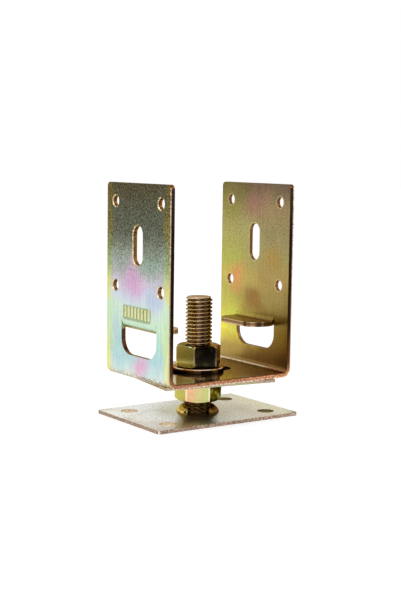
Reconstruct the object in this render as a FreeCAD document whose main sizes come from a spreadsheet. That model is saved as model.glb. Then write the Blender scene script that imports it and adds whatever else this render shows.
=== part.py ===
import FreeCAD, Part
import os

import Sketcher

# Adjustable base for a square timber post: a folded U bracket clamped by two nuts on a
# threaded stud, which is welded to a bolt-down plate. Millimetres, +Z up. The origin is under
# the plate, on the axis of the stud, and X runs across the bracket from wall to wall.

DRIVING_SIZES = [
    # Base plate
    ("plate_length", 110, "along X"),
    ("plate_depth", 75, "along Y"),
    ("plate_sheet", 2.3, "thickness"),
    ("plate_corner", 1.2, "corner radius"),
    ("anchor_bore", 11, "four holes for anchor bolts"),
    ("anchor_spacing_x", 78, "centre to centre"),
    ("anchor_spacing_y", 47, "centre to centre"),
    # Stud and its two welds
    ("stud_diameter", 18, "M18, over the thread"),
    ("stud_length", 77, "above the plate"),
    ("stud_point", 1.2, "chamfer at the free end"),
    ("weld_leg", 5.2, "fillet weld, along plate and stud"),
    ("weld_crown", 9, "radius of the weld's full face"),
    ("weld_sweep_angle", 80, "degrees of the foot that each weld covers"),
    ("weld_turn_angle", 150, "degrees from X to the middle of the first weld"),
    # Nuts
    ("nut_flats", 27, "across the flats"),
    ("nut_height", 14.5, "both nuts"),
    ("nut_lift", 7.9, "from the plate to the lower nut"),
    ("thread_clearance", 0.06, "nut bore over the stud, on the radius"),
    ("nut_countersink", 0.9, "at both mouths of the bore"),
    ("nut_chamfer", 1.3, "height of the corner chamfers"),
    ("nut_face_margin", 0.4, "from the flats in to the round face"),
    ("lower_nut_angle", 25, "degrees, where the lower nut stopped"),
    ("upper_nut_angle", 45, "degrees, where the upper nut stopped"),
    # Seat plate under the bracket and washer above its slot
    ("seat_length", 79, "along X"),
    ("seat_depth", 68, "along Y"),
    ("seat_sheet", 2, "thickness"),
    ("seat_turn_angle", -8, "degrees, as the loose plate lies"),
    ("passing_clearance", 0.6, "hole or slot over the stud, on the radius"),
    ("washer_outer", 34, "outer diameter"),
    ("washer_thickness", 3, "along the stud"),
    ("washer_break", 0.4, "chamfer on the outer edges"),
    # Bracket
    ("post_width", 90, "clear width between the walls"),
    ("strap_sheet", 3.2, "thickness of the folded strap"),
    ("strap_depth", 75, "along Y"),
    ("wall_height", 127, "over the folded strap"),
    ("bend_inner", 3.2, "inner radius of the two main bends"),
    ("wall_corner", 3, "radius of the top corners"),
    ("shift_travel", 15, "each way along the base slot"),
    # Holes in the walls
    ("nail_bore", 7, "eight holes for nails or screws"),
    ("nail_spacing_y", 54, "centre to centre"),
    ("nail_spacing_z", 55, "centre to centre"),
    ("nail_low", 60, "height of the lower row"),
    ("wall_slot_width", 11, "slot for a cross bolt"),
    ("wall_slot_length", 25, "overall"),
    ("wall_slot_low", 75, "height of its lower end"),
    ("punch_break", 0.6, "edge that the punch draws in on the outer face"),
    # Lanced tabs that carry the post
    ("tab_top", 35.6, "height of the seat for the post"),
    ("tab_width", 41, "along Y"),
    ("tab_offset", 2, "from the middle of the strap towards the front"),
    ("tab_reach", 18.2, "from the wall to the free end"),
    ("tab_bend", 2.8, "inner bend radius"),
    ("tab_corner", 10, "radius of the free corners"),
    ("shear_gap", 0.4, "between the tab and its window, each side"),
    ("bend_factor", 0.4, "neutral line of the bend, as a share of the sheet"),
]


def size_sheet(doc):
    sheet = doc.addObject("Spreadsheet::Sheet", "Sizes")
    for row, (alias, value, note) in enumerate(DRIVING_SIZES, start=1):
        sheet.set("A%d" % row, alias)
        sheet.set("B%d" % row, str(value))
        sheet.set("C%d" % row, note)
        sheet.setAlias("B%d" % row, alias)
    doc.recompute()
    return sheet


def worth(owner, formula):
    """The present value of a formula over the sheet's sizes."""
    return float(owner.evalExpression(formula))


def new_body(doc, label):
    body = doc.addObject("PartDesign::Body", label)
    body.Label = label
    return body


def new_sketch(body, role, name):
    """A sketch on one of the body's own origin planes."""
    sketch = body.newObject("Sketcher::SketchObject", name)
    plane = [item for item in body.Origin.OriginFeatures if item.Role == role][0]
    sketch.AttachmentSupport = (plane, "")
    sketch.MapMode = "FlatFace"
    return sketch


def pin_point(sketch, curve, end, across, up):
    """Holds one end of a curve at two formulas from the sketch's origin."""
    for kind, formula in (("DistanceX", across), ("DistanceY", up)):
        value = worth(sketch, formula)
        index = sketch.addConstraint(Sketcher.Constraint(kind, -1, 1, curve, end, value))
        sketch.setExpression("Constraints[%d]" % index, formula)


def set_radius(sketch, curve, formula):
    value = worth(sketch, formula)
    index = sketch.addConstraint(Sketcher.Constraint("Radius", curve, value))
    sketch.setExpression("Constraints[%d]" % index, formula)


def arc_between(start, finish, radius, left_turn):
    """Arc of less than half a turn, which bulges right or left of the way it runs."""
    middle = (start + finish) * 0.5
    along = finish - start
    half = along.Length / 2
    rise = max(radius * radius - half * half, 0.0) ** 0.5
    normal = FreeCAD.Vector(-along.y, along.x, 0).normalize()
    centre = middle + normal * (rise if left_turn else -rise)
    first, last = (start, finish) if left_turn else (finish, start)
    first_angle = FreeCAD.Vector(1, 0, 0).getAngle(first - centre) * (1 if first.y >= centre.y else -1)
    last_angle = FreeCAD.Vector(1, 0, 0).getAngle(last - centre) * (1 if last.y >= centre.y else -1)
    return Part.ArcOfCircle(Part.Circle(centre, FreeCAD.Vector(0, 0, 1), radius), first_angle, last_angle)


def draw_outline(sketch, corners, arcs=None):
    """Closed outline. corners are pairs of formulas; arcs maps the number of a side to its
    radius formula and whether it turns left."""
    arcs = arcs or {}
    places = [FreeCAD.Vector(worth(sketch, across), worth(sketch, up), 0) for across, up in corners]
    ends = []
    for number, start in enumerate(places):
        finish = places[(number + 1) % len(places)]
        if number in arcs:
            radius, left_turn = arcs[number]
            curve = sketch.addGeometry(arc_between(start, finish, worth(sketch, radius), left_turn), False)
            ends.append((curve, 1, 2) if left_turn else (curve, 2, 1))
        else:
            ends.append((sketch.addGeometry(Part.LineSegment(start, finish), False), 1, 2))
    for number, (curve, first, last) in enumerate(ends):
        following, its_first, its_last = ends[(number + 1) % len(ends)]
        sketch.addConstraint(Sketcher.Constraint("Coincident", curve, last, following, its_first))
    for number, (curve, first, last) in enumerate(ends):
        pin_point(sketch, curve, first, *corners[number])
    for number, (radius, left_turn) in arcs.items():
        set_radius(sketch, ends[number][0], radius)


def draw_rectangle(sketch, left, right, bottom, top):
    draw_outline(sketch, [(left, bottom), (right, bottom), (right, top), (left, top)])


def draw_circle(sketch, across, up, radius):
    centre = FreeCAD.Vector(worth(sketch, across), worth(sketch, up), 0)
    circle = Part.Circle(centre, FreeCAD.Vector(0, 0, 1), worth(sketch, radius))
    curve = sketch.addGeometry(circle, False)
    pin_point(sketch, curve, 3, across, up)
    set_radius(sketch, curve, radius)


def add_pad(body, sketch, name, length, both_ways=False):
    pad = body.newObject("PartDesign::Pad", name)
    pad.Profile = sketch
    pad.Midplane = both_ways
    pad.setExpression("Length", length)
    body.Document.recompute()
    return pad


def add_pocket(body, sketch, name, length):
    """Cut to both sides of the sketch, which must take material away."""
    before = body.Shape.Volume
    pocket = body.newObject("PartDesign::Pocket", name)
    pocket.Profile = sketch
    pocket.Midplane = True
    pocket.setExpression("Length", length)
    body.Document.recompute()
    if not pocket.Shape.Volume < before:
        raise RuntimeError(name + " cuts nothing")
    return pocket


def edges_where(feature, test):
    return ["Edge%d" % number for number, edge in enumerate(feature.Shape.Edges, start=1) if test(edge)]


def add_round(body, base, name, radius, test):
    rounding = body.newObject("PartDesign::Fillet", name)
    rounding.Base = (base, edges_where(base, test))
    rounding.setExpression("Radius", radius)
    body.Document.recompute()
    return rounding


def add_chamfer(body, base, name, leg, test):
    chamfer = body.newObject("PartDesign::Chamfer", name)
    chamfer.Base = (base, edges_where(base, test))
    chamfer.setExpression("Size", leg)
    body.Document.recompute()
    return chamfer


def near(value, target):
    return abs(value - target) < 1e-4


def runs_along(edge, axis):
    """Whether an edge is straight and parallel to X, Y or Z."""
    if not isinstance(edge.Curve, Part.Line):
        return False
    return near(abs(getattr(edge.Curve.Direction, axis)), 1)


def place(body, height, turn=None):
    body.setExpression("Placement.Base.z", height)
    if turn:
        body.Placement.Rotation = FreeCAD.Rotation(FreeCAD.Vector(0, 0, 1), worth(body, turn))
        body.setExpression("Placement.Rotation.Angle", turn)


# Heights of the stack on the stud, from the underside of the plate
PLATE_TOP = "Sizes.plate_sheet"
LOWER_NUT_BASE = PLATE_TOP + " + Sizes.nut_lift"
SEAT_BASE = LOWER_NUT_BASE + " + Sizes.nut_height"
STRAP_BASE = SEAT_BASE + " + Sizes.seat_sheet"
WASHER_BASE = STRAP_BASE + " + Sizes.strap_sheet"
UPPER_NUT_BASE = WASHER_BASE + " + Sizes.washer_thickness"

STUD_RADIUS = "Sizes.stud_diameter / 2"
PASSING_RADIUS = "(" + STUD_RADIUS + " + Sizes.passing_clearance)"


def make_base_plate(doc):
    """Flat plate with four anchor holes."""
    body = new_body(doc, "base_plate")
    sketch = new_sketch(body, "XY_Plane", "plate_outline")
    draw_rectangle(sketch, "-Sizes.plate_length / 2", "Sizes.plate_length / 2",
                   "-Sizes.plate_depth / 2", "Sizes.plate_depth / 2")
    pad = add_pad(body, sketch, "plate_pad", "Sizes.plate_sheet")
    corners = add_round(body, pad, "plate_corners", "Sizes.plate_corner", lambda edge: runs_along(edge, "z"))
    holes = new_sketch(body, "XY_Plane", "anchor_sketch")
    for side_x in ("-", ""):
        for side_y in ("-", ""):
            draw_circle(holes, side_x + "Sizes.anchor_spacing_x / 2", side_y + "Sizes.anchor_spacing_y / 2",
                        "Sizes.anchor_bore / 2")
    add_pocket(body, holes, "anchor_holes", "Sizes.plate_sheet * 2")
    return body


def make_stud(doc):
    """Threaded stud, modelled over the crests of its thread."""
    body = new_body(doc, "threaded_stud")
    sketch = new_sketch(body, "XY_Plane", "stud_section")
    draw_circle(sketch, "0", "0", STUD_RADIUS)
    pad = add_pad(body, sketch, "stud_pad", "Sizes.stud_length")
    top = worth(body, "Sizes.stud_length")
    add_chamfer(body, pad, "stud_end", "Sizes.stud_point", lambda edge: near(edge.BoundBox.ZMin, top))
    place(body, PLATE_TOP)
    return body


def make_weld(doc, label, turn):
    """Fillet weld round part of the stud's foot."""
    body = new_body(doc, label)
    sketch = new_sketch(body, "XZ_Plane", "weld_section")
    toe = STUD_RADIUS + " + Sizes.weld_leg"
    draw_outline(sketch, [(STUD_RADIUS, "0"), (toe, "0"), (STUD_RADIUS, "Sizes.weld_leg")],
                 {1: ("Sizes.weld_crown", True)})
    bead = body.newObject("PartDesign::Revolution", "weld_bead")
    bead.Profile = sketch
    bead.ReferenceAxis = (sketch, ["V_Axis"])
    bead.Midplane = True
    bead.setExpression("Angle", "Sizes.weld_sweep_angle")
    doc.recompute()
    place(body, PLATE_TOP, turn)
    return body


def make_nut(doc, label, height, turn):
    """Hexagon nut, chamfered on both sides and countersunk at both mouths."""
    body = new_body(doc, label)
    sketch = new_sketch(body, "XY_Plane", "nut_outline")
    corner = "Sizes.nut_flats / sqrt(3)"
    half_corner = corner + " / 2"
    flat = "Sizes.nut_flats / 2"
    draw_outline(sketch, [(corner, "0"), (half_corner, flat), ("-" + half_corner, flat),
                          ("-" + corner, "0"), ("-" + half_corner, "-" + flat), (half_corner, "-" + flat)])
    add_pad(body, sketch, "nut_pad", "Sizes.nut_height")

    bore = new_sketch(body, "XY_Plane", "bore_section")
    draw_circle(bore, "0", "0", STUD_RADIUS + " + Sizes.thread_clearance")
    drilled = add_pocket(body, bore, "nut_bore", "Sizes.nut_height * 2")

    # Each chamfer cone starts just inside the flats on the face and runs out past the corners,
    # where it has dropped by twice the chamfer over twice the distance
    start = "(Sizes.nut_flats / 2 - Sizes.nut_face_margin)"
    past = "(2 * " + corner + " - " + start + ")"
    drop = "2 * Sizes.nut_chamfer"
    before = drilled.Shape.Volume
    for name, face, away in (("upper_cone", "Sizes.nut_height", "-"), ("lower_cone", "0", "")):
        cone = new_sketch(body, "XZ_Plane", name + "_sketch")
        low = face + (" - " if away else " + ") + drop
        draw_outline(cone, [(start, face), (past, low), (past, face)])
        groove = body.newObject("PartDesign::Groove", name)
        groove.Profile = cone
        groove.ReferenceAxis = (cone, ["V_Axis"])
        groove.Angle = 360
        doc.recompute()
        if not groove.Shape.Volume < before:
            raise RuntimeError(name + " cuts nothing")
        before = groove.Shape.Volume

    bore_radius = worth(body, STUD_RADIUS + " + Sizes.thread_clearance")
    add_chamfer(body, groove, "countersinks", "Sizes.nut_countersink",
                lambda edge: isinstance(edge.Curve, Part.Circle) and near(edge.Curve.Radius, bore_radius))
    place(body, height, turn)
    return body


def make_seat_plate(doc):
    """Flat plate that spreads the load of the lower nut below the slot."""
    body = new_body(doc, "seat_plate")
    sketch = new_sketch(body, "XY_Plane", "seat_outline")
    draw_rectangle(sketch, "-Sizes.seat_length / 2", "Sizes.seat_length / 2",
                   "-Sizes.seat_depth / 2", "Sizes.seat_depth / 2")
    add_pad(body, sketch, "seat_pad", "Sizes.seat_sheet")
    hole = new_sketch(body, "XY_Plane", "seat_hole_sketch")
    draw_circle(hole, "0", "0", PASSING_RADIUS)
    add_pocket(body, hole, "seat_hole", "Sizes.seat_sheet * 2")
    place(body, SEAT_BASE, "Sizes.seat_turn_angle")
    return body


def make_washer(doc):
    body = new_body(doc, "washer")
    sketch = new_sketch(body, "XY_Plane", "washer_section")
    draw_circle(sketch, "0", "0", "Sizes.washer_outer / 2")
    draw_circle(sketch, "0", "0", PASSING_RADIUS)
    pad = add_pad(body, sketch, "washer_pad", "Sizes.washer_thickness")
    outer = worth(body, "Sizes.washer_outer / 2")
    add_chamfer(body, pad, "washer_edge", "Sizes.washer_break",
                lambda edge: isinstance(edge.Curve, Part.Circle) and near(edge.Curve.Radius, outer))
    place(body, WASHER_BASE)
    return body


def fold_strap(body):
    """The strap bent up into a U."""
    outer = "(Sizes.post_width / 2 + Sizes.strap_sheet)"
    inner = "Sizes.post_width / 2"
    outer_bend = "(Sizes.bend_inner + Sizes.strap_sheet)"
    section = new_sketch(body, "XZ_Plane", "strap_section")
    outer_start = outer + " - " + outer_bend
    inner_start = "(" + inner + " - Sizes.bend_inner)"
    inner_rise = "(Sizes.strap_sheet + Sizes.bend_inner)"
    corners = [("-(" + outer_start + ")", "0"), (outer_start, "0"),
               (outer, outer_bend), (outer, "Sizes.wall_height"),
               (inner, "Sizes.wall_height"), (inner, inner_rise),
               (inner_start, "Sizes.strap_sheet"), ("-" + inner_start, "Sizes.strap_sheet"),
               ("-" + inner, inner_rise), ("-" + inner, "Sizes.wall_height"),
               ("-" + outer, "Sizes.wall_height"), ("-" + outer, outer_bend)]
    draw_outline(section, corners, {1: (outer_bend, True), 5: ("Sizes.bend_inner", False),
                                    7: ("Sizes.bend_inner", False), 11: (outer_bend, True)})
    strap = add_pad(body, section, "folded_strap", "Sizes.strap_depth", both_ways=True)
    top = worth(body, "Sizes.wall_height")
    return add_round(body, strap, "wall_corners", "Sizes.wall_corner",
                     lambda edge: runs_along(edge, "x") and near(edge.CenterOfMass.z, top))


def lance_tabs(body):
    """Cuts the D windows and bends their metal inward as two level tabs."""
    span = "(Sizes.post_width + Sizes.strap_sheet * 4)"
    hinge = "(Sizes.tab_top + Sizes.tab_bend)"
    flat_length = "(Sizes.tab_reach - Sizes.tab_bend)"
    bend_length = "(pi / 2 * (Sizes.tab_bend + Sizes.bend_factor * Sizes.strap_sheet))"
    sill = "(" + hinge + " - " + flat_length + " - " + bend_length + " - Sizes.shear_gap)"
    front = "(-Sizes.tab_offset - Sizes.tab_width / 2 - Sizes.shear_gap)"
    back = "(-Sizes.tab_offset + Sizes.tab_width / 2 + Sizes.shear_gap)"
    corner = "(Sizes.tab_corner + Sizes.shear_gap)"
    window = new_sketch(body, "YZ_Plane", "window_outline")
    draw_outline(window, [(front, hinge), (front, sill + " + " + corner),
                          (front + " + " + corner, sill), (back + " - " + corner, sill),
                          (back, sill + " + " + corner), (back, hinge)],
                 {1: (corner, True), 3: (corner, True)})
    add_pocket(body, window, "windows", span)

    inner = "Sizes.post_width / 2"
    outer = inner + " + Sizes.strap_sheet"
    bend_centre = inner + " - Sizes.tab_bend"
    free_end = inner + " - Sizes.tab_reach"
    underside = "Sizes.tab_top - Sizes.strap_sheet"
    outer_bend = "Sizes.tab_bend + Sizes.strap_sheet"
    for name, side in (("right", ""), ("left", "-")):
        section = new_sketch(body, "XZ_Plane", name + "_tab_section")
        section.setExpression("AttachmentOffset.Base.z", "Sizes.tab_offset")
        rightward = side == ""
        draw_outline(section, [(side + "(" + outer + ")", hinge), (side + "(" + inner + ")", hinge),
                               (side + "(" + bend_centre + ")", "Sizes.tab_top"),
                               (side + "(" + free_end + ")", "Sizes.tab_top"),
                               (side + "(" + free_end + ")", underside),
                               (side + "(" + bend_centre + ")", underside)],
                     {1: ("Sizes.tab_bend", not rightward), 5: (outer_bend, rightward)})
        tab = add_pad(body, section, name + "_tab", "Sizes.tab_width", both_ways=True)
    reach = worth(body, free_end)
    middle = worth(body, "-Sizes.tab_offset")
    edge_half = worth(body, "Sizes.tab_width / 2")
    return add_round(body, tab, "tab_corners", "Sizes.tab_corner",
                     lambda edge: runs_along(edge, "z") and near(abs(edge.CenterOfMass.x), reach)
                     and near(abs(edge.CenterOfMass.y - middle), edge_half))


def punch_walls(body):
    """Nail holes and the cross-bolt slot, each through both walls, with drawn-in outer edges."""
    span = "(Sizes.post_width + Sizes.strap_sheet * 4)"
    punch = new_sketch(body, "YZ_Plane", "wall_punch")
    for side in ("-", ""):
        for height in ("Sizes.nail_low", "Sizes.nail_low + Sizes.nail_spacing_z"):
            draw_circle(punch, side + "Sizes.nail_spacing_y / 2", height, "Sizes.nail_bore / 2")
    half = "Sizes.wall_slot_width / 2"
    low = "Sizes.wall_slot_low + " + half
    high = "Sizes.wall_slot_low + Sizes.wall_slot_length - " + half
    draw_slot(punch, [("-" + half, low), (half, low), (half, high), ("-" + half, high)], half)
    holes = add_pocket(body, punch, "wall_holes", span)

    outer = worth(body, "Sizes.post_width / 2 + Sizes.strap_sheet")
    lowest = worth(body, "Sizes.nail_low - Sizes.nail_bore")
    highest = worth(body, "Sizes.nail_low + Sizes.nail_spacing_z + Sizes.nail_bore")
    widest = worth(body, "Sizes.nail_spacing_y / 2 + Sizes.nail_bore")

    def on_outer_rim(edge):
        box = edge.BoundBox
        flat = near(abs(box.XMin), outer) and near(box.XMin, box.XMax)
        inside = box.ZMin > lowest and box.ZMax < highest and abs(box.YMin) < widest and abs(box.YMax) < widest
        return flat and inside

    return add_chamfer(body, holes, "drawn_rims", "Sizes.punch_break", on_outer_rim)


def draw_slot(sketch, corners, radius):
    """Slot with round ends, which are the first and third sides of its corners."""
    middle_low = (corners[0][0] + " + " + radius, corners[0][1] + " - " + radius)
    middle_high = (corners[3][0] + " + " + radius, corners[3][1] + " + " + radius)
    draw_outline(sketch, [corners[0], middle_low, corners[1], corners[2], middle_high, corners[3]],
                 {0: (radius, True), 1: (radius, True), 3: (radius, True), 4: (radius, True)})


def slot_base(body):
    """Slot in the base of the strap, along which the bracket shifts on the stud."""
    slot = new_sketch(body, "XY_Plane", "base_slot_outline")
    end = "(Sizes.shift_travel)"
    radius = PASSING_RADIUS
    draw_outline(slot, [("-" + end, radius), ("-" + end + " - " + radius, "0"), ("-" + end, "-" + radius),
                        (end, "-" + radius), (end + " + " + radius, "0"), (end, radius)],
                 {0: (radius, True), 1: (radius, True), 3: (radius, True), 4: (radius, True)})
    return add_pocket(body, slot, "base_slot", "Sizes.strap_sheet * 2")


def make_bracket(doc):
    body = new_body(doc, "u_bracket")
    fold_strap(body)
    lance_tabs(body)
    punch_walls(body)
    slot_base(body)
    place(body, STRAP_BASE)
    return body


def check_and_export(doc, bodies):
    for item in doc.Objects:
        if "Invalid" in item.State or "Error" in item.State:
            raise RuntimeError(item.Name + " failed: " + str(item.State))
    for body in bodies:
        if body.Shape.isNull() or not body.Shape.isValid() or len(body.Shape.Solids) != 1:
            raise RuntimeError(body.Label + " is not one valid solid")
    os.makedirs("parts", exist_ok=True)
    for body in bodies:
        body.Shape.exportStep("parts/" + body.Label + ".step")
        box = body.Shape.BoundBox
        print("%-14s volume %9.1f  x %7.2f..%7.2f  y %7.2f..%7.2f  z %7.2f..%7.2f" % (
            body.Label, body.Shape.Volume, box.XMin, box.XMax, box.YMin, box.YMax, box.ZMin, box.ZMax))


doc = FreeCAD.newDocument("TimberPostBase")
size_sheet(doc)
bodies = [
    make_base_plate(doc),
    make_stud(doc),
    make_weld(doc, "weld_left", "Sizes.weld_turn_angle"),
    make_weld(doc, "weld_right", "Sizes.weld_turn_angle - 180"),
    make_nut(doc, "lower_nut", LOWER_NUT_BASE, "Sizes.lower_nut_angle"),
    make_seat_plate(doc),
    make_bracket(doc),
    make_washer(doc),
    make_nut(doc, "upper_nut", UPPER_NUT_BASE, "Sizes.upper_nut_angle"),
]
doc.recompute()
check_and_export(doc, bodies)
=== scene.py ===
import math

import bmesh
import bpy
from mathutils import Matrix, Vector


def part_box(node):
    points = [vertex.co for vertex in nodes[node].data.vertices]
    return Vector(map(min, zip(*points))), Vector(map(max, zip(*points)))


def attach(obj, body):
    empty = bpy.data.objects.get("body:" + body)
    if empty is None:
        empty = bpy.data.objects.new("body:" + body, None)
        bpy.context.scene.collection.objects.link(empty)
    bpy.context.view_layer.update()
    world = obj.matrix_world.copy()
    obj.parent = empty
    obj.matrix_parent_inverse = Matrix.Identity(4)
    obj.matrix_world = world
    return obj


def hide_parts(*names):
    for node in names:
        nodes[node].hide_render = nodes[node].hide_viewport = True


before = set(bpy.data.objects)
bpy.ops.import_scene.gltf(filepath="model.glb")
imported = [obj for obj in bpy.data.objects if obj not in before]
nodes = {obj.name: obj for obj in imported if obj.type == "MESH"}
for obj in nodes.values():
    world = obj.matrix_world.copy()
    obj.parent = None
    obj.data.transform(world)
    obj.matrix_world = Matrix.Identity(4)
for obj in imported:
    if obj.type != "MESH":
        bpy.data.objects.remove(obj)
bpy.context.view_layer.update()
mm = 0.001
print("frame loaded")


def linearColour(hexCode):
    parts = [int(hexCode[i:i + 2], 16) / 255 for i in (1, 3, 5)]
    return tuple(c / 12.92 if c <= 0.04045 else ((c + 0.055) / 1.055) ** 2.4 for c in parts) + (1.0,)


# Adds a node, fills its inputs in order or by name, and gives back one output. A socket is
# linked, a hex text is a colour, and stops are a ramp's (place, hex colour) pairs.
def addNode(tree, kind, values=(), output=0, stops=(), **settings):
    node = tree.nodes.new(kind)
    for name, value in settings.items():
        setattr(node, name, value)
    for key, value in values.items() if isinstance(values, dict) else enumerate(values):
        if isinstance(value, bpy.types.NodeSocket):
            tree.links.new(value, node.inputs[key])
        else:
            node.inputs[key].default_value = linearColour(value) if isinstance(value, str) else value
    while stops and len(node.color_ramp.elements) < len(stops):
        node.color_ramp.elements.new(0.5)
    for number, (place, hexCode) in enumerate(stops):
        node.color_ramp.elements[number].position = place
        node.color_ramp.elements[number].color = linearColour(hexCode)
    return node.outputs[output] if node.outputs else None


# Lays a paint over a colour as a value goes from start to full, at most as strong as strength
def paintWhere(tree, colour, paint, value, start, full, strength=1.0):
    share = addNode(tree, "ShaderNodeMapRange", (value, start, full, 0.0, strength),
                    interpolation_type="SMOOTHSTEP")
    return addNode(tree, "ShaderNodeMix", {0: share, 6: colour, 7: paint}, 2, data_type="RGBA")


def startMetal(name, roughness, grazing):  # grazing is the colour of flat-angle reflections
    material = bpy.data.materials.new(name)
    material.use_nodes = True
    tree = material.node_tree
    tree.nodes.clear()
    surface = addNode(tree, "ShaderNodeBsdfPrincipled", {
        "Metallic": 1.0, "Roughness": roughness, "Specular Tint": grazing})
    addNode(tree, "ShaderNodeOutputMaterial", {"Surface": surface})
    metres = addNode(tree, "ShaderNodeTexCoord", output="Object")
    place = addNode(tree, "ShaderNodeVectorMath", (metres, (1000, 1000, 1000)), operation="MULTIPLY")
    return material, tree, surface.node, place  # place is in mm


def pitSurface(tree, shader, place, sizeMm, depthMm, strength):  # fine pitting of plated steel
    grain = addNode(tree, "ShaderNodeTexNoise", {
        "Vector": place, "Scale": 1 / sizeMm, "Detail": 4.0, "Roughness": 0.6})
    bump = addNode(tree, "ShaderNodeBump", {
        "Strength": strength, "Distance": depthMm * mm, "Height": grain})
    tree.links.new(bump, shader.inputs["Normal"])
    return grain


def speckleColour(tree, colour, grain, low, high):  # brightness follows the middle of a noise
    gain = addNode(tree, "ShaderNodeMapRange", (grain, 0.35, 0.65, low, high))
    return addNode(tree, "ShaderNodeVectorMath", {0: colour, "Scale": gain}, operation="SCALE")


def offMark(tree, value, mark):  # how far a value is from a mark
    off = addNode(tree, "ShaderNodeMath", (value, mark), operation="SUBTRACT")
    return addNode(tree, "ShaderNodeMath", [off], operation="ABSOLUTE")


def offAxis(tree, place):  # how far a place is from the stud's axis
    level = addNode(tree, "ShaderNodeVectorMath", (place, (1, 1, 0)), operation="MULTIPLY")
    return addNode(tree, "ShaderNodeVectorMath", [level], "Value", operation="LENGTH")


def newObject(name, data):
    piece = bpy.data.objects.new(name, data)
    bpy.context.scene.collection.objects.link(piece)
    return piece


def finishMesh(name, mesh, material):  # turns a bmesh into an object
    data = bpy.data.meshes.new(name)
    mesh.to_mesh(data)
    mesh.free()
    data.materials.append(material)
    return newObject(name, data)


def dressNode(name, material):
    nodes[name].data.materials.clear()
    nodes[name].data.materials.append(material)


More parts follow.
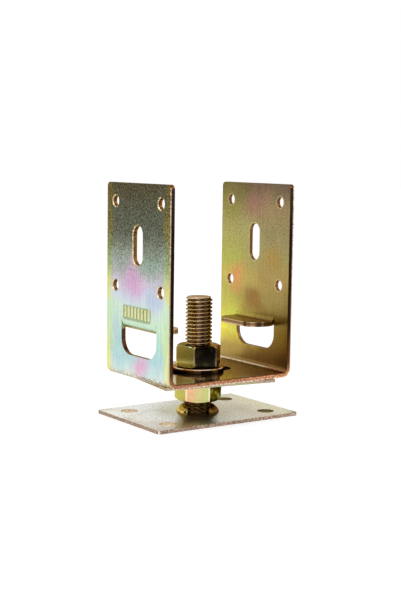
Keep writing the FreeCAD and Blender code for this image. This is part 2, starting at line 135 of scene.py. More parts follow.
# Strap steel, zinc plated and yellow passivated: the film is thin enough to break white light
# into olive, pink, blue and mint, and it changes along the strap as it drained after the bath.
# The darkening towards the top of the outside is partly that film and partly a painted
# reflection of a darker part of the room.
# Lengths are in mm, stops are (height, colour) and a bloom is (along Y, height, radius, colour).
# A band is where a paint begins and is full, in the measure that it follows, and how strong it is.
strapLook = {
    # outside and outsideEdge darken towards the top: partly film, partly a painted reflection
    "outside": [(26, "#e2dfd2"), (32, "#c9dfdc"), (40, "#b2d2d6"), (52, "#b0d8cc"), (64, "#c6e2c8"),
                (73, "#cbe0d2"), (80, "#cad6e2"), (88, "#c8c6d4"), (94, "#b6b6bc"), (99, "#a3aba6"),
                (105, "#94a095"), (112, "#7d8477"), (122, "#606558"), (136, "#5b5e51"), (154, "#534e3c")],
    "outsideEdge": [(26, "#e8e0a0"), (45, "#d6e298"), (62, "#c6dfb2"), (74, "#c4e2c0"), (82, "#d8dc90"),
                    (88, "#dcd87c"), (94, "#c0cc84"), (101, "#9cb078"), (110, "#869060"),
                    (124, "#787242"), (154, "#6a5a38")],
    # The bright stop at height 50 is a painted highlight, brighter than the film round it
    "insideBack": [(30, "#a48b52"), (40, "#b49c56"), (50, "#f4e65c"), (66, "#c8be5a"), (80, "#bab45e"),
                   (91, "#c8b460"), (102, "#b2b25a"), (120, "#aea662"), (138, "#928c4e"), (154, "#776b40")],
    "insideFront": [(30, "#785a32"), (40, "#7c5e2e"), (54, "#84692e"), (64, "#867038"), (74, "#9c8850"),
                    (90, "#aa9258"), (104, "#a09562"), (120, "#998c62"), (138, "#9a8660"),
                    (154, "#6b5a4a")],
    # Sheared faces: pale low down and nearly black higher up, a painted reflection
    "cutFace": [(26.7, "#d8a48c"), (28.4, "#c4865e"), (31, "#b07a54"), (36, "#64442a"), (60, "#2e1e10"),
                (120, "#241810"), (154, "#3c3026")],
    "outsideBlooms": [(6, 89, 16, "#d89ccc"), (-5, 37, 11, "#e898c4"), (28, 56, 14, "#aec0de"),
                      (-20, 79, 12, "#b2c2de"), (-16, 104, 12, "#8ea694")],
    "insideBlooms": [(2, 142, 19, "#a06f68"), (20, 90, 12, "#d8925e"), (0, 74, 13, "#8c6038"),
                     (-20, 104, 12, "#a88848"), (6, 120, 16, "#a8a468"), (24, 60, 12, "#c4cc5c")],
    # The olive round the pressed bars is a painted shade
    # The pale gold at the base's left is a painted reflection and highlight
    "hidden": "#d0c07c", "patchShade": "#76844c", "base": "#e2d0b8", "baseLeftReflection": "#fff4c4",
    # The pale hole-rim colour is a painted highlight
    "tab": "#d2a290", "tabEdge": "#c6a880", "tabTorn": "#6e4e2c", "punched": "#70401e", "rimHighlight": "#d9c79c",
    # The pale outer edge colour is a painted highlight
    "innerEdge": "#2c1a0c", "outerEdgeHighlight": "#f0d2bc", "grazing": "#d0c4ae",
    "bands": {"outside": (4.3, 5.3), "outsideEdge": (27, 36), "patchShade": (2.0, 0.8, 0.6),
              "insideBack": (-16, 40), "hidden": (0, -20, 0.75), "bloom": (1.1, 0.1, 0.7),
              "base": (31.5, 30.2), "baseLeftReflection": (-8, -20), "tab": (58, 59), "tabEdge": (1.55, 1.45),
              "tabTorn": (1.1, 0.7), "pastBend": (6.0, 6.5), "overBase": (37.0, 38.0),
              "punched": (1.5, 1.35), "cutFace": (37.3, 37.45), "innerEdge": (4.0, 3.5, 0.8),
              "outerEdgeHighlight": (5.5, 5.9, 0.8), "wallFace": (0.02, 0.1), "rimHighlight": (1.1, 0.5)},
    "tabTornShare": 0.8, "punchedShare": 0.9, "rimShare": (0.4, 0.8),
    "bendCentre": (41.8, 33.1), "wallInside": 43.6, "wallMiddle": 46.6, "tabMiddle": 60.9, "tabBend": 65,
    "patchMiddle": (-48, 0.6, 70.2), "patchHalf": (1, 15.2, 3.4),
    "holes": {"across": 27, "rows": (86.7, 141.7), "radius": 3.5},
    "slot": {"middle": 114.2, "half": 7, "radius": 5.5},
    "blotchMm": 17, "driftMm": 16, "edgeDriftMm": 12.0, "backDriftMm": 30.0, "bloomDrift": 1.6,
    "tornMm": 1.3, "tornSpeckle": (0.86, 1.14), "streakMm": (1.6, 14), "streakSpeckle": (0.94, 1.06),
    "grainMm": 1.1, "grainDepthMm": 0.04, "grainBump": 0.4, "grainHeights": (84, 124),
    "grainOutside": (0.4, 5.2), "grainInside": (0.8, 1.9), "grainBase": 4.5, "grainDarkest": 0.3,
    "roughness": 0.27, "baseSmoother": -0.12, "cutRougher": 0.18,
}


def colourByHeight(tree, height, stops):
    low, high = stops[0][0], stops[-1][0]
    share = addNode(tree, "ShaderNodeMapRange", (height, low, high))
    return addNode(tree, "ShaderNodeValToRGB", [share],
                   stops=[((place - low) / (high - low), colour) for place, colour in stops])


def addBlooms(tree, place, drift, colour, blooms):
    start, full, strength = strapLook["bands"]["bloom"]
    for along, height, radius, bloomColour in blooms:
        offset = addNode(tree, "ShaderNodeVectorMath", (place, (0, 1, 1), (0, -along, -height)),
                         operation="MULTIPLY_ADD")
        distance = addNode(tree, "ShaderNodeVectorMath", [offset], "Value", operation="LENGTH")
        distance = addNode(tree, "ShaderNodeMath", (drift, radius * strapLook["bloomDrift"], distance),
                           operation="MULTIPLY_ADD")
        colour = paintWhere(tree, colour, bloomColour, distance, radius * start, radius * full, strength)
    return colour


def punchDistance(tree, acrossY, z):  # how far a point on a wall is from the nearest hole's edge
    holes, slot = strapLook["holes"], strapLook["slot"]
    rise = addNode(tree, "ShaderNodeMath", (offMark(tree, z, slot["middle"]), slot["half"]),
                   operation="SUBTRACT")
    rise = addNode(tree, "ShaderNodeMath", (rise, 0.0), operation="MAXIMUM")
    fromSlot = addNode(tree, "ShaderNodeCombineXYZ", (0.0, acrossY, rise))
    distance = addNode(tree, "ShaderNodeVectorMath", [fromSlot], "Value", operation="LENGTH")
    nearest = addNode(tree, "ShaderNodeMath", (distance, slot["radius"]), operation="SUBTRACT")
    across = addNode(tree, "ShaderNodeCombineXYZ", (0.0, acrossY, z))
    for row in holes["rows"]:
        distance = addNode(tree, "ShaderNodeVectorMath", (across, (0, holes["across"], row)), "Value",
                           operation="DISTANCE")
        distance = addNode(tree, "ShaderNodeMath", (distance, holes["radius"]), operation="SUBTRACT")
        nearest = addNode(tree, "ShaderNodeMath", (nearest, distance), operation="MINIMUM")
    return nearest


def makeStrapSteel():
    look, bands = strapLook, strapLook["bands"]
    material, tree, shader, place = startMetal("yellowPassivatedStrap", look["roughness"], look["grazing"])
    x, y, z = addNode(tree, "ShaderNodeSeparateXYZ", [place]).node.outputs
    folded = addNode(tree, "ShaderNodeVectorMath", [place], operation="ABSOLUTE")
    acrossX, acrossY, _ = addNode(tree, "ShaderNodeSeparateXYZ", [folded]).node.outputs
    blotch = addNode(tree, "ShaderNodeTexNoise", {
        "Vector": place, "Scale": 1 / look["blotchMm"], "Detail": 3.0, "Roughness": 0.5})
    drift = addNode(tree, "ShaderNodeMath", (blotch, 0.5), operation="SUBTRACT")
    height = addNode(tree, "ShaderNodeMath", (drift, look["driftMm"], z), operation="MULTIPLY_ADD")

    # Distance from the middle line of the bends tells the outside of the strap from the inside
    bendX, bendZ = look["bendCentre"]
    outward = addNode(tree, "ShaderNodeVectorMath", (folded, (1, 0, -1), (-bendX, 0, bendZ)),
                      operation="MULTIPLY_ADD")
    outward = addNode(tree, "ShaderNodeVectorMath", (outward, (0, 0, 0)), operation="MAXIMUM")
    reach = addNode(tree, "ShaderNodeVectorMath", [outward], "Value", operation="LENGTH")
    outside = addNode(tree, "ShaderNodeMapRange", (reach, *bands["outside"]),
                      interpolation_type="SMOOTHSTEP")

    # The film gathers yellow along the upright edges of the outside
    edgeward = addNode(tree, "ShaderNodeMath", (drift, look["edgeDriftMm"], acrossY),
                       operation="MULTIPLY_ADD")
    outsideColour = colourByHeight(tree, height, look["outside"])
    outsideColour = addBlooms(tree, place, drift, outsideColour, look["outsideBlooms"])
    edgeColour = colourByHeight(tree, height, look["outsideEdge"])
    outsideColour = paintWhere(tree, outsideColour, edgeColour, edgeward, *bands["outsideEdge"])

    # The pressed bars on the left wall have a painted olive shade round them, set a little low and to one
    # side
    patchShade = addNode(tree, "ShaderNodeVectorMath", (place, look["patchMiddle"]), operation="SUBTRACT")
    patchShade = addNode(tree, "ShaderNodeVectorMath", [patchShade], operation="ABSOLUTE")
    patchShade = addNode(tree, "ShaderNodeVectorMath", (patchShade, look["patchHalf"]), operation="SUBTRACT")
    patchShade = addNode(tree, "ShaderNodeVectorMath", (patchShade, (0, 0, 0)), operation="MAXIMUM")
    fromPatch = addNode(tree, "ShaderNodeVectorMath", [patchShade], "Value", operation="LENGTH")
    outsideColour = paintWhere(tree, outsideColour, look["patchShade"], fromPatch, *bands["patchShade"])

    # Inside it turns from brown at the front to lime at the back
    backward = addNode(tree, "ShaderNodeMath", (drift, look["backDriftMm"], y), operation="MULTIPLY_ADD")
    insideColour = paintWhere(tree, colourByHeight(tree, height, look["insideFront"]),
                              colourByHeight(tree, height, look["insideBack"]), backward,
                              *bands["insideBack"])
    insideColour = addBlooms(tree, place, drift, insideColour, look["insideBlooms"])
    insideColour = paintWhere(tree, insideColour, look["hidden"], x, *bands["hidden"])

    # The base drained last and is browner; the gold in the corner by the left wall is a painted
    # reflection of the nut and a painted highlight on the wall's bend
    baseColour = paintWhere(tree, look["base"], look["baseLeftReflection"], x, *bands["baseLeftReflection"])
    onBase = addNode(tree, "ShaderNodeMapRange", (z, *bands["base"]), interpolation_type="SMOOTHSTEP")
    insideColour = addNode(tree, "ShaderNodeMix", {0: onBase, 6: insideColour, 7: baseColour}, 2,
                           data_type="RGBA")
    body = addNode(tree, "ShaderNodeMix", {0: outside, 6: insideColour, 7: outsideColour}, 2,
                   data_type="RGBA")

    # The tabs are brown on top, where the bend stretched the zinc, and torn dark along their edges
    offWall = addNode(tree, "ShaderNodeMath", (acrossX, look["wallInside"]), operation="LESS_THAN")
    body = paintWhere(tree, body, look["tab"], z, *bands["tab"], offWall)
    offMiddle = offMark(tree, z, look["tabMiddle"])
    body = paintWhere(tree, body, look["tabEdge"], offMiddle, *bands["tabEdge"], offWall)
    tabTorn = addNode(tree, "ShaderNodeMath", (offWall, look["tabTornShare"]), operation="MULTIPLY")
    body = paintWhere(tree, body, look["tabTorn"], offMiddle, *bands["tabTorn"], tabTorn)

    # Punched faces within the thickness of the walls keep a dark brown film
    fromMiddle = offMark(tree, acrossX, look["wallMiddle"])
    offBend = offMark(tree, z, look["tabBend"])
    punched = addNode(tree, "ShaderNodeMapRange", (offBend, *bands["pastBend"], 0.0, look["punchedShare"]),
                      interpolation_type="SMOOTHSTEP")
    punched = addNode(tree, "ShaderNodeMapRange", (z, *bands["overBase"], 0.0, punched),
                      interpolation_type="SMOOTHSTEP")
    body = paintWhere(tree, body, look["punched"], fromMiddle, *bands["punched"], punched)

    # Sheared faces are coarser. Their colour up the height is painted reflection: coppery along
    # the base, mirroring the pale floor nearby, and nearly black-brown up the walls, mirroring a
    # darker part of the room; a pale painted highlight runs along the outer corner and the inner
    # corner is darker.
    cut = addNode(tree, "ShaderNodeMapRange", (acrossY, *bands["cutFace"]), interpolation_type="SMOOTHSTEP")
    cutColour = colourByHeight(tree, z, look["cutFace"])
    cutColour = paintWhere(tree, cutColour, look["innerEdge"], reach, *bands["innerEdge"])
    cutColour = paintWhere(tree, cutColour, look["outerEdgeHighlight"], reach, *bands["outerEdgeHighlight"])
    squeezed = addNode(tree, "ShaderNodeVectorMath", (place, (1, 1, 2)), operation="MULTIPLY")
    torn = addNode(tree, "ShaderNodeTexNoise", {
        "Vector": squeezed, "Scale": 1 / look["tornMm"], "Detail": 3.0, "Roughness": 0.7})
    cutColour = speckleColour(tree, cutColour, torn, *look["tornSpeckle"])
    body = addNode(tree, "ShaderNodeMix", {0: cut, 6: body, 7: cutColour}, 2, data_type="RGBA")

    # The punch draws the edge of each hole in, and that rounded edge carries a pale painted
    # highlight, stronger on the outside
    nearest = punchDistance(tree, acrossY, z)
    inner, outer = look["rimShare"]
    highlightShare = addNode(tree, "ShaderNodeMath", (outside, outer - inner, inner), operation="MULTIPLY_ADD")
    highlightShare = addNode(tree, "ShaderNodeMapRange", (nearest, *bands["wallFace"], 0.0, highlightShare),
                    interpolation_type="SMOOTHSTEP")
    body = paintWhere(tree, body, look["rimHighlight"], nearest, *bands["rimHighlight"], highlightShare)

    # Faint upright streaks from the rolling, drawn wider than real so that they show
    acrossMm, alongMm = look["streakMm"]
    stretched = addNode(tree, "ShaderNodeVectorMath", (place, (1, 1, acrossMm / alongMm)),
                        operation="MULTIPLY")
    streak = addNode(tree, "ShaderNodeTexNoise", {
        "Vector": stretched, "Scale": 1 / acrossMm, "Detail": 2.0, "Roughness": 0.5})
    body = speckleColour(tree, body, streak, *look["streakSpeckle"])

    # Pickled grain, also coarser than real, shows most where the film is dark, high up the outside
    grain = pitSurface(tree, shader, place, look["grainMm"], look["grainDepthMm"], look["grainBump"])
    outsideShow = addNode(tree, "ShaderNodeMapRange", (z, *look["grainHeights"], *look["grainOutside"]))
    insideShow = addNode(tree, "ShaderNodeMapRange", (z, *look["grainHeights"], *look["grainInside"]))
    show = addNode(tree, "ShaderNodeMix", {0: outside, 2: insideShow, 3: outsideShow})
    show = addNode(tree, "ShaderNodeMath", (onBase, look["grainBase"], show), operation="MULTIPLY_ADD")
    gain = addNode(tree, "ShaderNodeMath", (grain, 0.5), operation="SUBTRACT")
    gain = addNode(tree, "ShaderNodeMath", (gain, show, 1.0), operation="MULTIPLY_ADD")
    gain = addNode(tree, "ShaderNodeMath", (gain, look["grainDarkest"]), operation="MAXIMUM")
    body = addNode(tree, "ShaderNodeVectorMath", {0: body, "Scale": gain}, operation="SCALE")
    tree.links.new(body, shader.inputs["Base Color"])
    rough = addNode(tree, "ShaderNodeMath", (onBase, look["baseSmoother"], look["roughness"]),
                    operation="MULTIPLY_ADD")
    rough = addNode(tree, "ShaderNodeMath", (cut, look["cutRougher"], rough), operation="MULTIPLY_ADD")
    tree.links.new(rough, shader.inputs["Roughness"])
    return material


dressNode("u_bracket", makeStrapSteel())
print("bracket finished")


# Turned and forged fasteners from the same bath: a thicker film, olive gold with orange blooms.
# A nut's films are the start and end colours of its six flats, from the first corner on; how
# light or dark each flat is comes partly from painted reflection, the dark flat mirroring a darker
# part of the room and the palest flats the pale floor. Its corners carry a pale painted highlight
# for a small angle to either side, and the films begin at filmDegrees.
fastenerLook = {"grainMm": 0.9, "grainDepthMm": 0.01, "grainBump": 0.2, "speckle": (0.86, 1.12),
                "bloomMm": 6, "bloomStops": (0.32, 0.46, 0.58, 0.7), "grazing": "#a58a5a"}
nutLook = {
    "roughness": 0.13, "grazing": "#8f7850", "cornerGlint": "#f6ecc8", "bloomBand": (0.5, 0.66, 0.35),
    "glintDegrees": 1, "filmDegrees": 3,
    "lower": {"firstCorner": 25, "bloom": "#c0d488",
              "films": [("#cfc070", "#cfc070"), ("#c8c878", "#c8c878"), ("#ccc870", "#c8b868"),
                        ("#ecae88", "#bcc67c"), ("#6c5c28", "#524420"), ("#b8a050", "#b8a050")]},
    "upper": {"firstCorner": 45, "bloom": "#b09858",
              "films": [("#cfc070", "#cfc070"), ("#d8c878", "#d8c878"), ("#b4ac84", "#b0b48c"),
                        ("#443c30", "#3c3830"), ("#f0d8b4", "#f4d0ac"), ("#c0a858", "#c0a858")]},
}


def finishFastener(tree, shader, place, colour):
    look = fastenerLook
    grain = pitSurface(tree, shader, place, look["grainMm"], look["grainDepthMm"], look["grainBump"])
    tree.links.new(speckleColour(tree, colour, grain, *look["speckle"]), shader.inputs["Base Color"])


def colourByAzimuth(tree, place, stops):  # stops are (degrees from +X round the stud, colour)
    x, y, _ = addNode(tree, "ShaderNodeSeparateXYZ", [place]).node.outputs
    turn = addNode(tree, "ShaderNodeMath", (y, x), operation="ARCTAN2")
    turn = addNode(tree, "ShaderNodeMath", (turn, 2 * math.pi), operation="DIVIDE")
    turn = addNode(tree, "ShaderNodeMath", [turn], operation="FRACT")
    return addNode(tree, "ShaderNodeValToRGB", [turn],
                   stops=[(angle / 360, colour) for angle, colour in stops])


def makeBloom(tree, place):
    return addNode(tree, "ShaderNodeTexNoise", {
        "Vector": place, "Scale": 1 / fastenerLook["bloomMm"], "Detail": 2.0, "Roughness": 0.5})


def makeNutSteel(name, nut):
    look = nutLook
    material, tree, shader, place = startMetal(name, look["roughness"], look["grazing"])
    cornerGlint, film = look["glintDegrees"], look["filmDegrees"]
    stops = []
    for flat, (first, last) in enumerate(nut["films"]):
        corner = nut["firstCorner"] + flat * 60
        # Corners get a pale painted highlight, then each flat its films
        stops += [((corner + turn) % 360, colour) for turn, colour in
                  ((-cornerGlint, look["cornerGlint"]), (cornerGlint, look["cornerGlint"]), (film, first), (60 - film, last))]
    colour = colourByAzimuth(tree, place, sorted(stops))
    colour = paintWhere(tree, colour, nut["bloom"], makeBloom(tree, place), *look["bloomBand"])
    finishFastener(tree, shader, place, colour)
    return material


# A fastener with blooms all over; the last argument gives (from height, to height, colour) of
# painted shade on the lower part
def makeFastenerSteel(name, films, roughness=0.13, foot=None):
    material, tree, shader, place = startMetal(name, roughness, fastenerLook["grazing"])
    colour = addNode(tree, "ShaderNodeValToRGB", [makeBloom(tree, place)],
                     stops=list(zip(fastenerLook["bloomStops"], films)))
    if foot:
        low, high, footColour = foot
        height = addNode(tree, "ShaderNodeSeparateXYZ", [place], "Z")
        colour = paintWhere(tree, colour, footColour, height, high, low)
    finishFastener(tree, shader, place, colour)
    return material


# The washer's dark side below its top edge is painted shade
washerLook = {"films": ("#d8c8a4", "#e4c8ac", "#e4bca4", "#c0a484"), "foot": (31.9, 32.5, "#4c3a2c")}
seatLook = {"films": ("#a9ad80", "#b8a98c", "#bda190", "#8d8060")}
dressNode("lower_nut", makeNutSteel("yellowPassivatedLowerNut", nutLook["lower"]))
dressNode("upper_nut", makeNutSteel("yellowPassivatedUpperNut", nutLook["upper"]))
dressNode("washer", makeFastenerSteel("yellowPassivatedWasher", washerLook["films"], foot=washerLook["foot"]))
dressNode("seat_plate", makeFastenerSteel("yellowPassivatedSeat", seatLook["films"]))
print("nuts, washer and seat plate finished")


# Plate steel that took little of the yellow film: satin silver, straw towards the right, with
# a darker olive ring round the stud, painted shade under the bracket. Stops are (share of the
# length, colour), and the bands of the edge and the bore are measured from the plate's outline
# and from a hole's edge. The bore colours are painted light in the left holes and painted shade
# in the right.
plateLook = {
    "along": [(0, "#fbf8f0"), (0.28, "#e6e9e6"), (0.52, "#d5d7cb"), (0.75, "#c8bca4"), (1, "#d8d2ac")],
    "cloud": "#b3a98f", "underBracketShade": "#aca476", "edgeDark": "#5c4738", "edgeBright": "#cdb29e",
    "bore": "#7d6c45", "boreLeft": "#e2cfae", "grazing": "#f2f0ea", "roughness": 0.26,
    "half": (55, 37.5), "anchor": (39, 23.5, 5.5), "edgeStops": (0.42, 0.56),
    "bands": {"cloud": (0.5, 0.75, 0.6), "underBracketShade": (38, 14, 0.7), "edge": (-0.2, -0.05),
              "boreLeft": (10, -10), "bore": (0.15, 0.05)},
    "cloudMm": 22, "tornMm": 1.2, "grainMm": 1.0, "grainDepthMm": 0.03, "grainBump": 0.3,
    "speckle": (0.7, 1.26),
}


def makePlateSteel():
    look, bands = plateLook, plateLook["bands"]
    material, tree, shader, place = startMetal("paleZincPlate", look["roughness"], look["grazing"])
    halfX, halfY = look["half"]
    x = addNode(tree, "ShaderNodeSeparateXYZ", [place], "X")
    folded = addNode(tree, "ShaderNodeVectorMath", [place], operation="ABSOLUTE")
    acrossX, acrossY, _ = addNode(tree, "ShaderNodeSeparateXYZ", [folded]).node.outputs
    along = addNode(tree, "ShaderNodeMapRange", (x, -halfX, halfX))
    cloud = addNode(tree, "ShaderNodeTexNoise", {
        "Vector": place, "Scale": 1 / look["cloudMm"], "Detail": 3.0, "Roughness": 0.5})
    colour = addNode(tree, "ShaderNodeValToRGB", [along], stops=look["along"])
    colour = paintWhere(tree, colour, look["cloud"], cloud, *bands["cloud"])
    # A darker olive ring round the stud: painted shade under the bracket
    colour = paintWhere(tree, colour, look["underBracketShade"], offAxis(tree, place), *bands["underBracketShade"])

    # The sheared edge is bright where it was cut and torn darker below
    squeezed = addNode(tree, "ShaderNodeVectorMath", (place, (1, 1, 3)), operation="MULTIPLY")
    torn = addNode(tree, "ShaderNodeTexNoise", {
        "Vector": squeezed, "Scale": 1 / look["tornMm"], "Detail": 3.0, "Roughness": 0.7})
    edge = addNode(tree, "ShaderNodeValToRGB", [torn],
                   stops=list(zip(look["edgeStops"], (look["edgeDark"], look["edgeBright"]))))
    start, full = bands["edge"]
    endFace = addNode(tree, "ShaderNodeMapRange", (acrossX, halfX + start, halfX + full),
                      interpolation_type="SMOOTHSTEP")
    sideFace = addNode(tree, "ShaderNodeMapRange", (acrossY, halfY + start, halfY + full),
                       interpolation_type="SMOOTHSTEP")
    sheared = addNode(tree, "ShaderNodeMath", (endFace, sideFace), operation="MAXIMUM")
    colour = addNode(tree, "ShaderNodeMix", {0: sheared, 6: colour, 7: edge}, 2, data_type="RGBA")

    # Inside the drilled holes: painted light, pale, in the left holes and painted shade, dark olive,
    # in the right
    anchorX, anchorY, anchorRadius = look["anchor"]
    offset = addNode(tree, "ShaderNodeVectorMath", (folded, (1, 1, 0), (-anchorX, -anchorY, 0)),
                     operation="MULTIPLY_ADD")
    fromHole = addNode(tree, "ShaderNodeVectorMath", [offset], "Value", operation="LENGTH")
    boreColour = paintWhere(tree, look["bore"], look["boreLeft"], x, *bands["boreLeft"])
    start, full = bands["bore"]
    colour = paintWhere(tree, colour, boreColour, fromHole, anchorRadius + start, anchorRadius + full)
    grain = pitSurface(tree, shader, place, look["grainMm"], look["grainDepthMm"], look["grainBump"])
    tree.links.new(speckleColour(tree, colour, grain, *look["speckle"]), shader.inputs["Base Color"])
    return material


dressNode("base_plate", makePlateSteel())
print("base plate finished")


def newTree(name, inputs):  # geometry tree with named inputs: (name, socket kind, value)
    tree = bpy.data.node_groups.new(name, "GeometryNodeTree")
    sockets = {}
    for label, kind, value in inputs:
        socket = tree.interface.new_socket(label, in_out="INPUT", socket_type=kind)
        socket.default_value = value
        sockets[label] = socket.identifier
    tree.interface.new_socket("Geometry", in_out="OUTPUT", socket_type="NodeSocketGeometry")
    return tree, sockets, addNode(tree, "NodeGroupInput").node.outputs


def endTree(tree, geometry, material):
    real = addNode(tree, "GeometryNodeRealizeInstances", [geometry])
    coated = addNode(tree, "GeometryNodeSetMaterial", {"Geometry": real, "Material": material})
    addNode(tree, "NodeGroupOutput", [coated])


def growPiece(name, tree, sockets, values):  # runs a tree once and keeps its plain mesh
    holder = newObject(name + "Holder", bpy.data.meshes.new(name + "Holder"))
    modifier = holder.modifiers.new("grow", "NODES")
    modifier.node_group = tree
    for label, value in values.items():
        modifier[sockets[label]] = value
    graph = bpy.context.evaluated_depsgraph_get()
    mesh = bpy.data.meshes.new_from_object(holder.evaluated_get(graph))
    holder.modifiers.remove(modifier)
    bpy.data.objects.remove(holder)
    mesh.name = name
    return newObject(name, mesh)


# Stud: M18 right-hand thread with an even wave profile, from the same bath as the nuts. Round it
# the colour turns from olive to copper, partly film and partly painted reflection, darker on the
# side facing front right and paler towards the front left; it is darker in the roots, and the foot
# above the weld is darkened with painted shade. Films are (degrees from +X, colour).
studShape = {"pitchMm": 2.5, "depthMm": 1.5, "rowsPerTurn": 10, "columns": 56, "endMm": 1.4}
studLook = {
    "films": [(0, "#b8a468"), (150, "#c8bc88"), (195, "#e0cca4"), (225, "#e0c4a0"), (244, "#bca084"),
              (262, "#9c8462"), (284, "#a48e5c"), (310, "#c0ac68"), (359, "#b8a468")],
    "root": "#54422c", "footShade": "#7c6644", "top": "#f0d4b8", "roughness": 0.16,
    "bands": {"root": (8.6, 7.7, 0.7), "footShade": (13, 8), "top": (78.9, 79.2)},
}


def makeStudSteel():
    look, bands = studLook, studLook["bands"]
    material, tree, shader, place = startMetal("yellowPassivatedStud", look["roughness"],
                                               fastenerLook["grazing"])
    height = addNode(tree, "ShaderNodeSeparateXYZ", [place], "Z")
    colour = colourByAzimuth(tree, place, look["films"])
    colour = paintWhere(tree, colour, look["root"], offAxis(tree, place), *bands["root"])
    # The foot above the weld is darkened with painted shade
    colour = paintWhere(tree, colour, look["footShade"], height, *bands["footShade"])
    # A pale painted highlight on the stud's top face
    colour = paintWhere(tree, colour, look["top"], height, *bands["top"])
    finishFastener(tree, shader, place, colour)
    return material


def makeThreadedStud():
    low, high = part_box("threaded_stud")
    length = high.z - low.z
    tree, sockets, given = newTree("helicalThread", [
        ("Radius", "NodeSocketFloat", 0.008), ("Length", "NodeSocketFloat", 0.07),
        ("Pitch", "NodeSocketFloat", 0.002), ("Depth", "NodeSocketFloat", 0.001),
        ("End", "NodeSocketFloat", 0.001), ("Base", "NodeSocketFloat", 0.0),
        ("Rows", "NodeSocketInt", 100), ("Columns", "NodeSocketInt", 48)])
    cylinder = addNode(tree, "GeometryNodeMeshCylinder", {
        "Vertices": given["Columns"], "Side Segments": given["Rows"], "Radius": given["Radius"],
        "Depth": given["Length"]}, "Mesh")
    position = addNode(tree, "GeometryNodeInputPosition")
    x, y, z = addNode(tree, "ShaderNodeSeparateXYZ", [position]).node.outputs
    # The cylinder is centred on the origin, and the helix climbs one pitch a turn
    upward = addNode(tree, "ShaderNodeMath", (given["Length"], 0.5, z), operation="MULTIPLY_ADD")
    turn = addNode(tree, "ShaderNodeMath", (y, x), operation="ARCTAN2")
    turn = addNode(tree, "ShaderNodeMath", (turn, 2 * math.pi), operation="DIVIDE")
    climb = addNode(tree, "ShaderNodeMath", (upward, given["Pitch"]), operation="DIVIDE")
    phase = addNode(tree, "ShaderNodeMath", (climb, turn), operation="SUBTRACT")
    phase = addNode(tree, "ShaderNodeMath", (phase, 2 * math.pi), operation="MULTIPLY")
    wave = addNode(tree, "ShaderNodeMath", [phase], operation="COSINE")
    dip = addNode(tree, "ShaderNodeMath", (wave, -0.5, 0.5), operation="MULTIPLY_ADD")
    dip = addNode(tree, "ShaderNodeMath", (dip, given["Depth"]), operation="MULTIPLY")
    threaded = addNode(tree, "ShaderNodeMath", (given["Radius"], dip), operation="SUBTRACT")
    bevelStart = addNode(tree, "ShaderNodeMath", (given["Length"], given["End"]), operation="SUBTRACT")
    past = addNode(tree, "ShaderNodeMath", (upward, bevelStart), operation="SUBTRACT")
    past = addNode(tree, "ShaderNodeMath", (past, 0.0), operation="MAXIMUM")
    bevelled = addNode(tree, "ShaderNodeMath", (given["Radius"], past), operation="SUBTRACT")
    radius = addNode(tree, "ShaderNodeMath", (threaded, bevelled), operation="MINIMUM")
    # The middles of the two end faces stay on the axis
    level = addNode(tree, "ShaderNodeCombineXYZ", (x, y))
    distance = addNode(tree, "ShaderNodeVectorMath", [level], "Value", operation="LENGTH")
    onRim = addNode(tree, "ShaderNodeMath", (distance, 0.0001), operation="GREATER_THAN")
    radius = addNode(tree, "ShaderNodeMath", (radius, onRim), operation="MULTIPLY")
    direction = addNode(tree, "ShaderNodeVectorMath", [level], operation="NORMALIZE")
    spread = addNode(tree, "ShaderNodeVectorMath", {0: direction, "Scale": radius}, operation="SCALE")
    rise = addNode(tree, "ShaderNodeMath", (upward, given["Base"]), operation="ADD")
    raised = addNode(tree, "ShaderNodeCombineXYZ", {"Z": rise})
    target = addNode(tree, "ShaderNodeVectorMath", (spread, raised), operation="ADD")
    moved = addNode(tree, "GeometryNodeSetPosition", {"Geometry": cylinder, "Position": target})
    endTree(tree, moved, makeStudSteel())
    stud = growPiece("threadedStud", tree, sockets, {
        "Radius": (high.x - low.x) / 2, "Length": length, "Pitch": studShape["pitchMm"] * mm,
        "Depth": studShape["depthMm"] * mm, "End": studShape["endMm"] * mm, "Base": low.z,
        "Rows": round(length / (studShape["pitchMm"] * mm) * studShape["rowsPerTurn"]),
        "Columns": studShape["columns"]})
    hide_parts("threaded_stud")
    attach(stud, "base")


makeThreadedStud()
print("stud threaded")


# Weld beads: each is a run of overlapping ripples with round ends
weldShape = {"legMm": 5.2, "sweepDegrees": 80, "ripples": 9, "rippleShare": 0.07, "steps": 72, "facets": 12,
             "bulge": 1.35, "rootMm": 0.6, "endPower": 5, "endShare": 0.02}
# The left bead is coloured lit, pale with painted highlights, and the right bead in shade, dark: one weld
# drawn in lit and shaded copies
weldLook = {"left": ("#f4e890", "#ecd480", "#d8b468", "#a88444"),
            "right": ("#8c7440", "#80602e", "#6c5028", "#4c381c"), "roughness": 0.15}


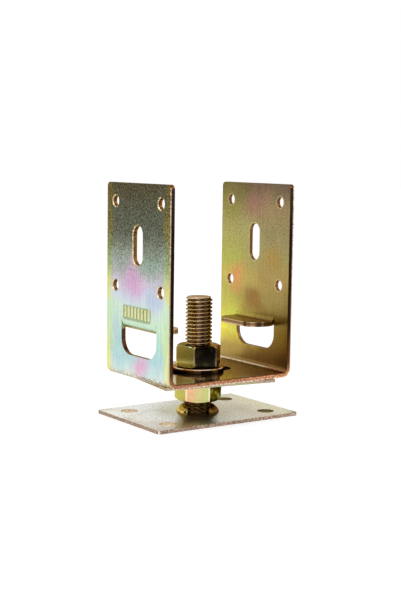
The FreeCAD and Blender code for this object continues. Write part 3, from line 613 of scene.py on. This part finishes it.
def makeWeld(name, nodeName, middleDegrees, material):
    low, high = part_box("threaded_stud")
    studRadius = (high.x - low.x) / 2
    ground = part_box(nodeName)[0].z
    shape = weldShape
    half = math.radians(shape["sweepDegrees"]) / 2
    inner = studRadius - shape["rootMm"] * mm
    mesh = bmesh.new()
    rings = []
    for step in range(shape["steps"] + 1):
        share = step / shape["steps"] * 2 - 1
        angle = math.radians(middleDegrees) + share * half
        roundEnd = max((1 - abs(share) ** shape["endPower"]) ** 0.5, shape["endShare"])
        ripple = (shape["ripples"] * (share + 1) / 2) % 1
        leg = shape["legMm"] * mm * roundEnd * (1 - shape["rippleShare"] * (1 - math.sin(math.pi * ripple)))
        ring = []
        for facet in range(shape["facets"] + 1):
            slope = facet / shape["facets"] * math.pi / 2
            out, up = math.cos(slope) ** shape["bulge"] * leg, math.sin(slope) ** shape["bulge"] * leg
            ring.append((studRadius + out, ground + up))
        ring += [(inner, ground + leg), (inner, ground)]
        rings.append([mesh.verts.new((r * math.cos(angle), r * math.sin(angle), z)) for r, z in ring])
    for first, second in zip(rings, rings[1:]):
        for i in range(len(first)):
            j = (i + 1) % len(first)
            mesh.faces.new((first[i], second[i], second[j], first[j]))
    mesh.faces.new(rings[0])
    mesh.faces.new(list(reversed(rings[-1])))
    bmesh.ops.recalc_face_normals(mesh, faces=mesh.faces)
    weld = finishMesh(name, mesh, material)
    weld.data.shade_smooth()
    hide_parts(nodeName)
    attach(weld, "base")


makeWeld("weldBeadLeft", "weld_left", 150,
         makeFastenerSteel("yellowPassivatedWeldLit", weldLook["left"], weldLook["roughness"]))
makeWeld("weldBeadRight", "weld_right", -30,
         makeFastenerSteel("yellowPassivatedWeldShaded", weldLook["right"], weldLook["roughness"]))
print("welds laid")


# Plain pressed bars above the left window, where such brackets carry a stamping
barShape = {"count": 8, "pitchMm": 4.0, "widthMm": 2.9, "tallMm": 8.0, "proudMm": 0.6, "heightMm": 70.8}
barLook = {"films": ("#cfdca4", "#d6dba6", "#dcd9ae", "#b9bd82"), "roughness": 0.3}


def makePressedBars():
    tree, sockets, given = newTree("pressedBars", [
        ("Count", "NodeSocketInt", 7), ("Pitch", "NodeSocketFloat", 0.005),
        ("Size", "NodeSocketVector", (0.001, 0.003, 0.009)), ("Start", "NodeSocketVector", (0, 0, 0))])
    step = addNode(tree, "ShaderNodeCombineXYZ", {"Y": given["Pitch"]})
    line = addNode(tree, "GeometryNodeMeshLine", {
        "Count": given["Count"], "Start Location": given["Start"], "Offset": step})
    block = addNode(tree, "GeometryNodeMeshCube", {
        "Size": given["Size"], "Vertices X": 2, "Vertices Y": 3, "Vertices Z": 5}, "Mesh")
    pill = addNode(tree, "GeometryNodeSubdivisionSurface", {"Mesh": block, "Level": 2})
    smooth = addNode(tree, "GeometryNodeSetShadeSmooth", [pill])
    bars = addNode(tree, "GeometryNodeInstanceOnPoints", {"Points": line, "Instance": smooth})
    endTree(tree, bars, makeFastenerSteel("yellowPassivatedPressing", barLook["films"], barLook["roughness"]))
    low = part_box("u_bracket")[0]
    start = (low.x, -(barShape["count"] - 1) / 2 * barShape["pitchMm"] * mm, barShape["heightMm"] * mm)
    bars = growPiece("pressedBars", tree, sockets, {
        "Count": barShape["count"], "Pitch": barShape["pitchMm"] * mm, "Start": start,
        "Size": (barShape["proudMm"] * 2 * mm, barShape["widthMm"] * mm, barShape["tallMm"] * mm)})
    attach(bars, "bracket")


makePressedBars()
print("stamping pressed")


# Stage: pale floor, white surroundings and dark flags that give the bright metal its blacks.
# A flag is (from, to) in degrees from +X, then radius, bottom and top in metres.
stageLook = {"floorRadius": 6.0, "floorGlow": 0.52, "floorPaint": "#d0d0d0", "skyDiffuse": 0.8,
             "flagShade": "#100d08", "flagRoughness": 0.9}
flagSet = {
    "darkFlagFront": (248, 300, 0.2, 0.001, 0.08),
    "darkFlagRight": (330, 372, 0.1, 0.0005, 0.024),
}


def shownRays(tree):  # 1 for what the camera sees, also in the metal or through glass
    path = addNode(tree, "ShaderNodeLightPath").node.outputs
    mirrored = addNode(tree, "ShaderNodeMath", (path["Is Glossy Ray"], path["Is Transmission Ray"]),
                       operation="MAXIMUM")
    return addNode(tree, "ShaderNodeMath", (path["Is Camera Ray"], mirrored), operation="MAXIMUM")


def makeFloor():
    mesh = bmesh.new()
    bmesh.ops.create_circle(mesh, cap_ends=True, segments=96, radius=stageLook["floorRadius"])
    material = bpy.data.materials.new("paleFloorPaint")
    material.use_nodes = True
    tree = material.node_tree
    tree.nodes.clear()
    glow = addNode(tree, "ShaderNodeEmission", {"Strength": stageLook["floorGlow"]})
    matt = addNode(tree, "ShaderNodeBsdfDiffuse", {"Color": stageLook["floorPaint"]})
    both = addNode(tree, "ShaderNodeAddShader", (glow, matt))
    surface = addNode(tree, "ShaderNodeMixShader", (shownRays(tree), matt, both))
    addNode(tree, "ShaderNodeOutputMaterial", {"Surface": surface})
    finishMesh("paleFloor", mesh, material)


def makeFlag(name, begin, finish, radius, bottom, top, material):
    mesh = bmesh.new()
    steps = 24
    columns = []
    for step in range(steps + 1):
        angle = math.radians(begin + (finish - begin) * step / steps)
        x, y = radius * math.cos(angle), radius * math.sin(angle)
        columns.append((mesh.verts.new((x, y, bottom)), mesh.verts.new((x, y, top))))
    for (low, high), (nextLow, nextHigh) in zip(columns, columns[1:]):
        mesh.faces.new((low, nextLow, nextHigh, high))
    flag = finishMesh(name, mesh, material)
    flag.visible_camera = False
    flag.visible_diffuse = False
    flag.visible_shadow = False


def makeFlags():
    cloth = bpy.data.materials.new("blackFlagCloth")
    cloth.use_nodes = True
    shader = cloth.node_tree.nodes["Principled BSDF"]
    shader.inputs["Base Color"].default_value = linearColour(stageLook["flagShade"])
    shader.inputs["Roughness"].default_value = stageLook["flagRoughness"]
    for name, shape in flagSet.items():
        makeFlag(name, *shape, cloth)


def makeWorld():
    world = bpy.data.worlds.new("whiteStudio")
    bpy.context.scene.world = world
    world.use_nodes = True
    tree = world.node_tree
    tree.nodes.clear()
    strength = addNode(tree, "ShaderNodeMapRange", {
        "Value": shownRays(tree), "To Min": stageLook["skyDiffuse"], "To Max": 1.0})
    sky = addNode(tree, "ShaderNodeBackground", {"Color": "#ffffff", "Strength": strength})
    addNode(tree, "ShaderNodeOutputWorld", {"Surface": sky})


lampSet = {  # name: (place, size, power), each turned to the middle of the object
    "softboxLeft": ((-0.9, -0.2, 1.0), 0.7, 2.4),
    "softboxRight": ((0.8, -0.7, 0.9), 0.6, 1.2),
    "softboxTop": ((0.1, 0.4, 1.3), 0.8, 2.4),
}


def makeLamps():
    target = Vector((0, 0, 0.07))
    for name, (place, size, power) in lampSet.items():
        data = bpy.data.lights.new(name, "AREA")
        data.size = size
        data.energy = power
        lamp = newObject(name, data)
        lamp.location = place
        lamp.rotation_euler = (target - Vector(place)).to_track_quat("-Z", "Y").to_euler()


cameraPlace = {"leftDegrees": 34.9, "upDegrees": 6.8, "tiltDegrees": 0.8, "distance": 0.8097,
               "lensMm": 73.4, "sensorMm": 36, "target": (0.0011, 0.0, 0.0764)}


def makeCamera():
    left, up = math.radians(cameraPlace["leftDegrees"]), math.radians(cameraPlace["upDegrees"])
    back = Vector((-math.sin(left) * math.cos(up), -math.cos(left) * math.cos(up), math.sin(up)))
    data = bpy.data.cameras.new("productCamera")
    data.lens = cameraPlace["lensMm"]
    data.sensor_width = cameraPlace["sensorMm"]
    camera = newObject("productCamera", data)
    aim = (-back).to_track_quat("-Z", "Y").to_matrix().to_4x4()
    roll = Matrix.Rotation(math.radians(cameraPlace["tiltDegrees"]), 4, "Z")
    spot = Vector(cameraPlace["target"]) + back * cameraPlace["distance"]
    camera.matrix_world = Matrix.Translation(spot) @ aim @ roll
    bpy.context.scene.camera = camera


makeFloor()
makeFlags()
makeWorld()
makeLamps()
makeCamera()
bpy.context.scene.view_settings.view_transform = "Standard"
print("stage set")
